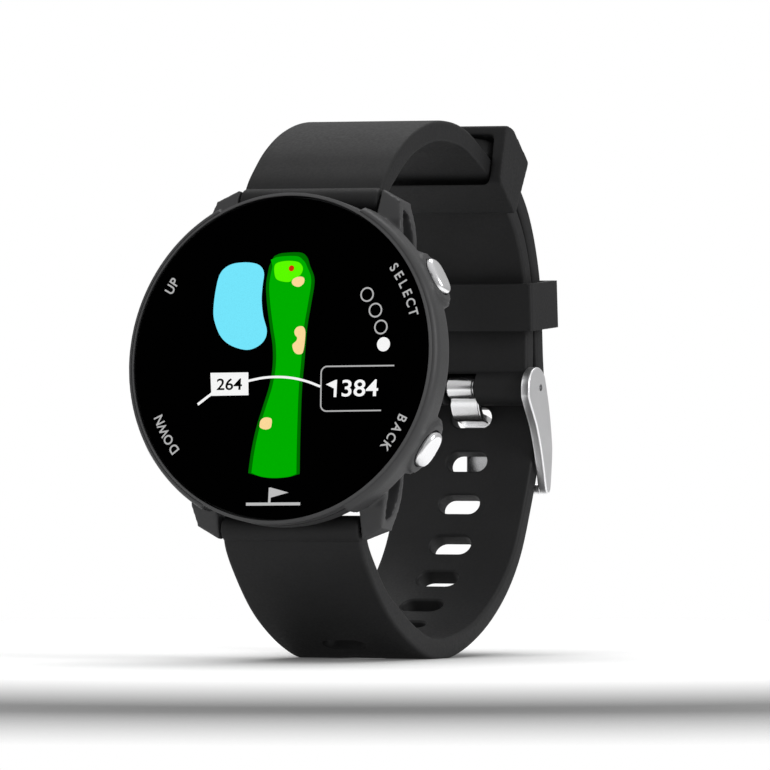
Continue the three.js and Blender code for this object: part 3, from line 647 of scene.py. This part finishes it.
STRAP_T, GAP = 2.6, 0.3
LAYER = STRAP_T + GAP
HALF_LUG, HALF_BUCKLE = 10.75, 10.5
TUBE_LUG_R, TUBE_BUCKLE_R, TUBE_BORE_R = 1.95, 2.6, 1.1
BORE_REACH = 12
PIVOT = (60.8, -4.2)
TOP_BAR, BOTTOM_BAR = bar_point(1), bar_point(-1)
SHORT = Line([TOP_BAR, (12.2, 24.1), (14.5, 26.1), (17.6, 28.4), (22.6, 30.8), (30, 32.3), (38.3, 31.5),
              (44.4, 28.9), (49.8, 25.8), (56.8, 19.2), (60.1, 12.6), (61, 5.4), (61.1, 0), PIVOT], 1)
LONG = Line([BOTTOM_BAR, (5.15, -26.3), (8.2, -30.2), (12.8, -34.6), (17.8, -37.8), (23.4, -40.3),
             (28, -41.5), (33, -41.5), (39, -40.2), (46.2, -37.2), (52.4, -33), (56.8, -28.2), (60.3, -21.6),
             (63.1, -14.8), (64.5, -9.3), (65, -4.2), (64.6, 0.6), (64.2, 5.9), (63.1, 12.8), (59.4, 20.9),
             (51.7, 28.1), (47.8, 30.6)], -1)
CREST_MORE, CREST_SHARES = 0.2, (0.02, 0.1, 0.35, 0.48)
BASE_MORE, BASE_SHARES = 0.5, (0.08, 0.14, 0.28, 0.36)
TAIL_ROUND = 2.5
HOLE_COUNT, HOLE_PITCH, HOLE_LENGTH, HOLE_HEIGHT, TONGUE_HOLE_Z = 10, 6.8, 6.4, 3.0, -8.75
# Depth from the strap's faces inwards and growth of the outline at a hole's rounded mouth.
HOLE_MOUTH = ((-1, 0.4), (0, 0.28), (0.08, 0.12), (0.28, 0.0))
HOLE_MOUTH_FAR = 1.0
NOTCH_LOW, NOTCH_HIGH = (-2.8, 50, -7.1), (2.8, 66, -2.15)
WINDOW_LOW, WINDOW_HIGH = (4.95, -0.9, -4), (8.25, 0.9, 0)


def half_width(line, share):
    """The strap narrows a little from the lugs to the buckle."""
    y = line.at(share)[0].x
    return HALF_LUG - (HALF_LUG - HALF_BUCKLE) * min(max(y / PIVOT[0], 0), 1)


def swell(share, a, b, c, d):
    """Rises from 0 to 1 between the first two shares and falls back between the last two."""
    def smooth(low, high):
        t = min(max((share - low) / (high - low), 0), 1)
        return t * t * (3 - 2 * t)
    return smooth(a, b) - smooth(c, d)


def crest(share):
    """Extra thickness inwards and outwards over the top of the loop."""
    more = CREST_MORE * swell(share, *CREST_SHARES)
    return more, more


def base(share):
    """Extra thickness inwards where the loop stands."""
    return BASE_MORE * swell(share, *BASE_SHARES), 0


def strap_section(line, thicker, tail=0.0):
    """Flat silicone band with rounded edges; the tail rounds off over its last millimetres."""
    def section(share):
        half = half_width(line, share)
        left = (1 - share) * line.length
        if tail and left < tail:
            half -= tail * (1 - math.sqrt(max(1 - (1 - left / tail) ** 2, 0)))
        inside, outside = (STRAP_T / 2 + more for more in thicker(share))
        return fillet([(-half, -inside), (half, -inside), (half, outside), (-half, outside)], 0.6, 4)
    return section


def window(bar):
    """Opening at the strap end where the release lever is reached."""
    obj = block("window", WINDOW_LOW, WINDOW_HIGH)
    obj.data.transform(Matrix.Translation((0, bar[0], bar[1])) @ Matrix.Rotation(math.pi / 2 - TILT, 4, "X"))
    return obj


def tube(name, radius, bar, half, edge=0.5, bead=0.15, steps=64):
    """Rod along x with rounded ends."""
    rings = []
    for x, shrink in ((-half, edge), (-half + bead, bead), (-half + edge, 0), (half - edge, 0),
                      (half - bead, bead), (half, edge)):
        rings.append([(x, y, z) for y, z in circle(bar[0], bar[1], radius - shrink, steps)])
    return loft(name, rings)


def bore(bar):
    return rod("bore", TUBE_BORE_R, -BORE_REACH, BORE_REACH, *bar)


def strap_short():
    short = band("strap_short", SHORT, 150, strap_section(SHORT, crest))
    join(short, tube("end", TUBE_LUG_R, TOP_BAR, HALF_LUG), tube("end", TUBE_BUCKLE_R, PIVOT, HALF_BUCKLE))
    cut(short, bore(TOP_BAR), bore(PIVOT), window(TOP_BAR), block("notch", NOTCH_LOW, NOTCH_HIGH))
    place(short, LOOP, "watch", "strap_silicone", SILICONE, "short_strap")


def strap_hole(share):
    """Slot through the long strap with rounded mouths on both faces."""
    p, _, n = LONG.at(share)
    t = STRAP_T / 2
    near = [(-t + depth, grow) for depth, grow in HOLE_MOUTH]
    far = [(t - depth, grow) for depth, grow in reversed(HOLE_MOUTH)]
    far[-1] = (far[-1][0], HOLE_MOUTH_FAR)
    rings = []
    for depth, grow in near + far:
        rings.append([(x, y, depth) for x, y in stadium(HOLE_LENGTH, HOLE_HEIGHT, grow, 12)])
    hole = loft("hole", rings)
    across, side = Vector((1, 0, 0)), Vector((0, n.x, n.y))
    frame_matrix = Matrix((across, side.cross(across), side)).transposed().to_4x4()
    frame_matrix.translation = (0, p.x, p.y)
    hole.data.transform(frame_matrix)
    return hole


def strap_long():
    strap = band("strap_long", LONG, 260, strap_section(LONG, base, TAIL_ROUND))
    join(strap, tube("end", TUBE_LUG_R, BOTTOM_BAR, HALF_LUG))
    cut(strap, bore(BOTTOM_BAR), window(BOTTOM_BAR))
    tongue_share = LONG.share_at_height(TONGUE_HOLE_Z)
    for i in range(HOLE_COUNT):
        cut(strap, strap_hole(tongue_share - i * HOLE_PITCH / LONG.length))
    for vertex in strap.data.vertices:
        vertex.co.z = max(vertex.co.z, -GLASS.z)
    place(strap, LOOP, "watch", "strap_silicone", SILICONE, "long_strap")


# ---- buckle ----
FRAME_IN, FRAME_OUT, FRAME_EDGE = 10.9, 12.3, 0.28
FRAME_TOP, FRAME_TOP_R = (59.8, -4.3), 3.1
FRAME_EDGES = [(56.9, -5.7), (57.7, -7.0), (59.6, -9.8), (61.0, -12.9), (62.0, -16.0), (62.8, -18.9),
               (63.5, -19.6), (64.3, -19.0), (64.7, -16.7), (65.0, -13.8), (64.9, -11.9), (64.1, -7.7)]
FRAME_BAR, FRAME_BAR_R, FRAME_BAR_HALF = (64.0, -18.9), 0.75, 11.3
PIN_SEAT_R, PIN_SEAT_HALF, PIN_EYE_R, PIN_EYE_HALF = 0.75, 11.9, 0.5, 13
TONGUE = Line([(61.3, -5), (61.5, -6.8), (62.4, -8.3), (64.2, -8.8), (66, -9.5), (66.9, -11.6), (67.1, -15),
               (66.9, -19.8)], 1)
TONGUE_HALF, TONGUE_T, KNUCKLE_R = 2.3, 1.1, 1.75


def arc(centre, radius, start, end, count):
    points = []
    for i in range(count + 1):
        a = math.radians(start + (end - start) * i / count)
        points.append((centre[0] + radius * math.cos(a), centre[1] + radius * math.sin(a)))
    return points


def buckle_frame():
    outline = smooth_closed(arc(FRAME_TOP, FRAME_TOP_R, 10, 190, 6) + FRAME_EDGES)
    plates = []
    for xs, name in ((1, "buckle"), (-1, "plate")):
        low, high = sorted((xs * FRAME_IN, xs * FRAME_OUT))
        plates.append(rim(prism(name, outline, low, high, "x"), FRAME_EDGE, 4, 60))
    buckle, other = plates
    join(buckle, other, rod("bar", FRAME_BAR_R, -FRAME_BAR_HALF, FRAME_BAR_HALF, *FRAME_BAR))
    cut(buckle, rod("bore", PIN_SEAT_R, -PIN_SEAT_HALF, PIN_SEAT_HALF, *PIVOT),
        rod("eye", PIN_EYE_R, -PIN_EYE_HALF, PIN_EYE_HALF, *PIVOT, 32))
    place(buckle, LOOP, "frame", "polished_steel", SATIN, "buckle_frame")


def buckle_tongue():
    w, t = TONGUE_HALF, TONGUE_T / 2
    section = fillet([(-w, -t), (w, -t), (w, t), (-w, t)], 0.3, 4)
    tongue = band("tongue", TONGUE, 60, lambda share: section)
    join(tongue, tube("knuckle", KNUCKLE_R, PIVOT, TONGUE_HALF))
    cut(tongue, bore(PIVOT))
    place(tongue, LOOP, "tongue", "polished_steel", POLISHED, "buckle_tongue")


# ---- keepers ----
KEEPER_CENTRE, KEEPER_AXIS, KEEPER_HALF, KEEPER_CORNER = (51.0, 26.95), math.radians(-42), 12.6, 0.7
KEEPER_OUTLINE = ((-2.5, -4.4), (4.6, -4.4), (3.8, -0.4), (2.9, 4.4), (-4.3, 4.4), (-6.5, 3.1))
KEEPER_BORE_HALF, KEEPER_BORE_CORNER, KEEPER_BORE_SHARES = 10.8, 0.9, (0.45, 0.85)
KEEPER_INNER, KEEPER_OUTER = -STRAP_T / 2 - 1.0, LAYER + STRAP_T / 2 + GAP
SLIDER_Z, SLIDER_EDGE = 7.6, 0.22
# Half width, half thickness, reach along the strap and corner of the slider and of its bore.
SLIDER, SLIDER_BORE = (12.3, 4.75, 3.4, 0.6), (11.0, 3.4, 5, 0.8)


def turned(centre, angle, a, n):
    return (centre[0] + a * math.cos(angle) - n * math.sin(angle),
            centre[1] + a * math.sin(angle) + n * math.cos(angle))


def keeper_locking():
    outline = [turned(KEEPER_CENTRE, KEEPER_AXIS, a, n) for a, n in KEEPER_OUTLINE]
    keeper = prism("keeper_locking", fillet(outline, KEEPER_CORNER, 4), -KEEPER_HALF, KEEPER_HALF, "x")
    half = KEEPER_BORE_HALF
    mouth = fillet([(-half, KEEPER_INNER), (half, KEEPER_INNER), (half, KEEPER_OUTER), (-half, KEEPER_OUTER)],
                   KEEPER_BORE_CORNER, 5)
    cut(keeper, band("bore", SHORT, 60, lambda share: mouth, *KEEPER_BORE_SHARES))
    soften(keeper, 0.2, 9, 0.5)
    place(keeper, LOOP, "watch", "strap_silicone", SILICONE, "locking_keeper", weighted=False)


def keeper_block(name, half_x, half_n, reach, radius):
    """Rounded bar along the strap, centred on its two layers at the sliding keeper's height."""
    spot, tangent, normal = SHORT.at(SHORT.share_at_height(SLIDER_Z))
    centre = spot + normal * LAYER / 2
    outline = fillet([(-half_x, -half_n), (half_x, -half_n), (half_x, half_n), (-half_x, half_n)], radius, 6)
    rings = []
    for along in (-reach, reach):
        middle = centre + tangent * along
        rings.append([(x, middle.x + normal.x * n, middle.y + normal.y * n) for x, n in outline])
    return loft(name, rings)


def keeper_sliding():
    keeper = cut(keeper_block("keeper_sliding", *SLIDER), keeper_block("bore", *SLIDER_BORE))
    rim(keeper, SLIDER_EDGE, 4, 60)
    place(keeper, LOOP, "loop", "strap_silicone", SILICONE, "sliding_keeper")


strap_short()
strap_long()
buckle_frame()
buckle_tongue()
keeper_locking()
keeper_sliding()

# ======================= display =======================
# Flat marks on the dial, rolled a touch as the display sits; each layer stands a hair above the last.
ROLL = Matrix.Rotation(math.radians(0.65), 4, "Z")
LAYER_STEP, LAYER_LOW = 0.012, -0.02


def mark(outlines, layer):
    """Thin plates from closed outlines."""
    return merged([prism("mark", outline, LAYER_LOW, LAYER_STEP * layer) for outline in outlines])


def merged(parts):
    verts, faces = [], []
    for part in parts:
        base_index = len(verts)
        verts += [tuple(v.co) for v in part.data.vertices]
        faces += [tuple(base_index + i for i in f.vertices) for f in part.data.polygons]
        bpy.data.objects.remove(part)
    return make("marks", verts, faces)


def stroke(points, width, layer, closed=False):
    """Line of even width through points."""
    points = [Vector(p) for p in points]
    count = len(points)
    top = LAYER_STEP * layer
    rings = []
    for i, p in enumerate(points):
        a = points[i - 1] if (i or closed) else p
        b = points[(i + 1) % count] if (i < count - 1 or closed) else p
        along = (b - a).normalized()
        side = Vector((-along.y, along.x)) * width / 2
        left, right = p + side, p - side
        rings.append([(*left, top), (*right, top), (*right, LAYER_LOW), (*left, LAYER_LOW)])
    return loft("stroke", rings, closed)


def lettering(text, height, centre, turn=0.0, width=None, bold=0.0, layer=1):
    """Characters of a plain sans face, scaled to a cap height and set round a centre."""
    curve = bpy.data.curves.new("text", "FONT")
    curve.body = text
    curve.offset = bold
    curve.extrude = 0.5
    holder = bpy.data.objects.new("text", curve)
    bpy.context.scene.collection.objects.link(holder)
    bpy.context.view_layer.update()
    graph = bpy.context.evaluated_depsgraph_get()
    mesh = bpy.data.meshes.new_from_object(holder.evaluated_get(graph))
    bpy.data.objects.remove(holder)
    co = np.array([v.co for v in mesh.vertices])
    low, high = co.min(0), co.max(0)
    middle, size = (low + high) / 2, high - low
    sy = height / size[1]
    sx = width / size[0] if width else sy * 0.92
    top = LAYER_STEP * layer
    fit = (Matrix.Translation((*centre, (top + LAYER_LOW) / 2)) @ Matrix.Rotation(turn, 4, "Z")
           @ Matrix.Diagonal((sx, sy, (top - LAYER_LOW) / size[2], 1)) @ Matrix.Translation(tuple(-middle)))
    mesh.transform(fit)
    obj = bpy.data.objects.new("text", mesh)
    bpy.context.scene.collection.objects.link(obj)
    return obj


def ink(name, parts, material):
    obj = merged(parts)
    obj.name = name
    place(obj, HEAD @ ROLL, "watch", "screen", material, weighted=False)


# ---- map of the hole ----
POND = [(-6.17, 13.6), (-4.13, 13.25), (-3.2, 12.15), (-3.3, 10.2), (-3.33, 8.2), (-2.96, 5.95), (-2.3, 3.95),
        (-2.6, 2.55), (-3.8, 1.55), (-5.5, 1.2), (-7.9, 1.9), (-9.5, 3.2), (-10.5, 5.2), (-10.8, 6.9),
        (-10.6, 9.7), (-10, 12.1), (-8.5, 13.3)]
FAIRWAY_LEFT = [(-2.4, 13), (-2.75, 10.45), (-2.45, 7.6), (-1.8, 4.2), (-1.27, 1.7), (-1.12, -1.1),
                (-1.5, -4), (-2.4, -7.1), (-3.2, -9.9), (-3.8, -13.2), (-4.1, -16.2)]
FAIRWAY_RIGHT = [(3.9, -16.4), (3.73, -11.7), (3.62, -4.9), (3.8, -0.35), (3.97, 4.2), (4.4, 7.5),
                 (4.75, 10.9), (3.96, 12.9), (3.4, 14.2), (2.3, 14.85), (-0.5, 14.8), (-1.7, 14.4)]
FAIRWAY_TOP = 12.9
FAIRWAY_FOOT = [(-2, -16.75), (0, -16.95), (2.2, -16.8)]
GREEN = [(-1.57, 13), (-1, 13.5), (0.5, 13.7), (2.1, 13.5), (2.8, 12.8), (2.77, 12.1), (2.3, 11.5),
         (1.4, 11.1), (0.95, 10.75), (0, 10.75), (-1.1, 11.1), (-1.5, 11.85)]
BUNKERS = [
    [(1.23, 10.7), (1.57, 11.2), (2.5, 11.45), (3.13, 11.2), (3.1, 10.5), (2.4, 10), (1.56, 10.2)],
    [(2.03, 3.75), (2.4, 4.3), (3.25, 4.4), (3.7, 3.75), (3.72, 2.5), (3.6, 1.2), (3.35, 0.55), (2.6, 0.5),
     (2.06, 0.95), (1.83, 1.8), (2.36, 2.35), (2.5, 2.8), (2.16, 3.2)],
    [(-2.5, -8.75), (-1.9, -8.4), (-0.95, -8.55), (-0.8, -9.2), (-1, -9.9), (-1.8, -10.1), (-2.6, -9.8),
     (-2.67, -9.25)],
]
PIN, PIN_R = (1.09, 12.63), 0.42
RIM_WIDTH = 0.5


def fairway(inset):
    left = smooth_open([(x + inset, y) for x, y in FAIRWAY_LEFT])
    right = smooth_open([(x - inset, y - (inset if y > FAIRWAY_TOP else 0)) for x, y in FAIRWAY_RIGHT])
    start, end = FAIRWAY_LEFT[-1], FAIRWAY_RIGHT[0]
    foot = smooth_open([(start[0] + inset, start[1])] + FAIRWAY_FOOT + [(end[0] - inset, end[1])])
    return left + foot[1:-1] + right


def hole_map():
    ink("dial_pond", [mark([smooth_closed(POND)], 1)], lit("ink_pond", (0.18, 0.81, 1.0)))
    ink("dial_rough", [mark([fairway(0)], 1)], lit("ink_rough", (0.0, 0.155, 0.0)))
    ink("dial_fairway", [mark([fairway(RIM_WIDTH)], 2)], lit("ink_fairway", (0.0, 0.434, 0.0)))
    ink("dial_green", [mark([smooth_closed(GREEN)], 3)], lit("ink_green", (0.107, 1.0, 0.0)))
    ink("dial_bunkers", [mark([smooth_closed(b) for b in BUNKERS], 4)], lit("ink_sand", (1.0, 0.72, 0.33)))
    ink("dial_pin", [mark([circle(*PIN, PIN_R)], 4)], lit("ink_pin", (0.62, 0.03, 0.004)))


# ---- distances, page dots, button labels and the emblem ----
TAG = [(-10.76, -2.0), (-4.86, -2.0), (-4.66, -5.22), (-10.43, -5.25)]
TAG_TAIL = [(-10.2, -4.8), (-12.5, -6.45)]
ARC = [(-4.8, -3.2), (-2.5, -2.8), (-0.2, -2.7), (2.2, -2.9), (4.4, -3.4), (6.45, -4.12)]
POINTER = [(7.3, -3.84), (8.72, -3.23), (9.0, -3.2), (9.0, -5.63), (8.58, -5.63), (8.58, -4.42)]
PAGE_NOW, PAGE_DOTS = (15.9, 1.71), ((13.0, 8.75), (14.4, 6.53), (15.37, 4.14))
FRAME_START, FRAME_END, FRAME_CORNER = (17.7, -1.3), (16.0, -7.58), 0.9
FRAME_CORNER_HIGH, FRAME_CORNER_LOW = (7.37, -2.2), (7.55, -6.7)
# Word, then the angles of its first and last letter round the dial.
LABELS = (("SELECT", 37.2, 17.4), ("BACK", -24.9, -37.3), ("UP", 151.4, 148.0), ("DOWN", -142.2, -155.5))
LABEL_R, LABEL_SHIFT, LABEL_HEIGHT = 20.75, 0.45, 1.4
EMBLEM_GROUND = [(-4.2, -20.6), (4.2, -20.6)]
EMBLEM_POLE = [(-0.6, -20.6), (-0.6, -18.3)]
EMBLEM_FLAG = [(-0.6, -18.25), (2.3, -19.0), (-0.6, -19.75)]


def white_marks():
    return [
        mark([TAG], 5),
        stroke(TAG_TAIL, 0.36, 5),
        stroke(smooth_open(ARC), 0.34, 5),
        mark([circle(*PAGE_NOW, 1.0)], 1),
        mark([POINTER], 1),
        lettering("384", 2.38, (12.6, -4.4), 0, 5.6, 0.012),
    ]


def distance_frame():
    """Open frame round the second distance, with two rounded corners."""
    turns = np.linspace(0, math.pi / 2, 8)
    (x1, y1), (x2, y2), r = FRAME_CORNER_HIGH, FRAME_CORNER_LOW, FRAME_CORNER
    high = [(x1 - r * math.sin(a), y1 + r * math.cos(a)) for a in turns]
    low = [(x2 - r * math.cos(a), y2 - r * math.sin(a)) for a in turns]
    return stroke([FRAME_START] + high + low + [FRAME_END], 0.2, 1)


def label(word, start, end):
    """Letters of a word set one by one round the dial."""
    letters = []
    for i, letter in enumerate(word):
        a = math.radians(start + (end - start) * i / (len(word) - 1))
        at = (LABEL_SHIFT + LABEL_R * math.cos(a), LABEL_R * math.sin(a))
        letters.append(lettering(letter, LABEL_HEIGHT, at, a - math.pi / 2, None, 0.015))
    return letters


def dial_marks():
    ink("dial_white", white_marks(), lit("ink_white", (0.95, 0.95, 0.95)))
    grey = [stroke(circle(x, y, 0.93), 0.22, 1, True) for x, y in PAGE_DOTS] + [distance_frame()]
    for word, start, end in LABELS:
        grey += label(word, start, end)
    ink("dial_grey", grey, lit("ink_grey", (0.46, 0.46, 0.46)))
    ink("dial_number", [lettering("264", 1.66, (-7.7, -3.65), 0, 3.95, 0.012, 6)],
        lit("ink_black", (0.002, 0.002, 0.002), 0.5))
    emblem = [stroke(EMBLEM_GROUND, 0.42, 1), stroke(EMBLEM_POLE, 0.36, 1), mark([EMBLEM_FLAG], 1)]
    ink("dial_emblem", emblem, lit("ink_silver", (0.52, 0.52, 0.52)))


hole_map()
dial_marks()


# ======================= floor, world and lights =======================
FLOOR_R, FLOOR_T = 1.2, 0.004
FLOOR_FADE = (0.10, 0.24)
# Reach of the painted contact shadow on the floor.
PAINTED_SHADE_REACH = 0.06


def stage_floor():
    """White paper that fades out round the object, with painted shade: its colour darkens where the object
    hides nearby sky, standing in for the contact shadow under it.
    """
    floor = prism("floor", circle(0, 0, FLOOR_R, 96), -FLOOR_T, 0.0)
    material, tree, shader, coords = nodes_of("floor_paper")
    # Painted shade: an occlusion test darkens the paper's colour near the object, as a painted contact
    # shadow.
    painted_shade = tree.nodes.new("ShaderNodeAmbientOcclusion")
    painted_shade.samples = 16
    painted_shade.inputs["Distance"].default_value = PAINTED_SHADE_REACH
    tree.links.new(ramp(tree, painted_shade.outputs["AO"], (0.22, 0.22, 0.22), (0.97, 0.97, 0.97), 0.35, 0.95),
                   shader.inputs["Base Color"])
    shader.inputs["Emission Color"].default_value = (1, 1, 1, 1)
    shader.inputs["Emission Strength"].default_value = 0.08
    shader.inputs["Roughness"].default_value = 0.9
    shader.inputs["Specular IOR Level"].default_value = 0.1
    distance = tree.nodes.new("ShaderNodeVectorMath")
    distance.operation = "LENGTH"
    tree.links.new(coords.outputs["Object"], distance.inputs[0])
    fade = tree.nodes.new("ShaderNodeMapRange")
    fade.inputs["From Min"].default_value = FLOOR_FADE[0]
    fade.inputs["From Max"].default_value = FLOOR_FADE[1]
    tree.links.new(distance.outputs["Value"], fade.inputs["Value"])
    clear = tree.nodes.new("ShaderNodeBsdfTransparent")
    mix = tree.nodes.new("ShaderNodeMixShader")
    tree.links.new(fade.outputs["Result"], mix.inputs["Fac"])
    tree.links.new(shader.outputs["BSDF"], mix.inputs[1])
    tree.links.new(clear.outputs["BSDF"], mix.inputs[2])
    tree.links.new(mix.outputs["Shader"], tree.nodes["Material Output"].inputs["Surface"])
    floor.data.materials.append(material)


def stage_world():
    world = bpy.data.worlds.new("studio")
    bpy.context.scene.world = world
    world.use_nodes = True
    tree = world.node_tree
    seen = tree.nodes["Background"]
    seen.inputs["Color"].default_value = (1, 1, 1, 1)
    seen.inputs["Strength"].default_value = 1.0
    glow = tree.nodes.new("ShaderNodeBackground")
    glow.inputs["Strength"].default_value = 0.7
    coords = tree.nodes.new("ShaderNodeTexCoord")
    split = tree.nodes.new("ShaderNodeSeparateXYZ")
    tree.links.new(coords.outputs["Generated"], split.inputs["Vector"])
    sky = ramp(tree, split.outputs["Z"], (0.62, 0.62, 0.62), (1, 1, 1), 0.0, 1.0)
    tree.links.new(sky, glow.inputs["Color"])
    path = tree.nodes.new("ShaderNodeLightPath")
    mix = tree.nodes.new("ShaderNodeMixShader")
    tree.links.new(path.outputs["Is Camera Ray"], mix.inputs["Fac"])
    tree.links.new(glow.outputs["Background"], mix.inputs[1])
    tree.links.new(seen.outputs["Background"], mix.inputs[2])
    tree.links.new(mix.outputs["Shader"], tree.nodes["World Output"].inputs["Surface"])


def lamp(name, place_at, target, width, height, power):
    data = bpy.data.lights.new(name, "AREA")
    data.shape = "RECTANGLE"
    data.size, data.size_y = width, height
    data.energy = power
    obj = bpy.data.objects.new(name, data)
    obj.location = place_at
    obj.rotation_euler = (Vector(target) - Vector(place_at)).to_track_quat("-Z", "Y").to_euler()
    bpy.context.scene.collection.objects.link(obj)


stage_floor()
stage_world()
CENTRE = (0.0, 0.0, 0.04)
lamp("right_softbox", (1.1, -0.35, 0.45), CENTRE, 0.5, 0.7, 9)
lamp("top_softbox", (-0.1, 0.5, 1.1), CENTRE, 0.9, 0.7, 5)
lamp("left_fill", (-1.1, -0.7, 0.5), CENTRE, 0.4, 0.8, 2)

bpy.context.view_layer.update()
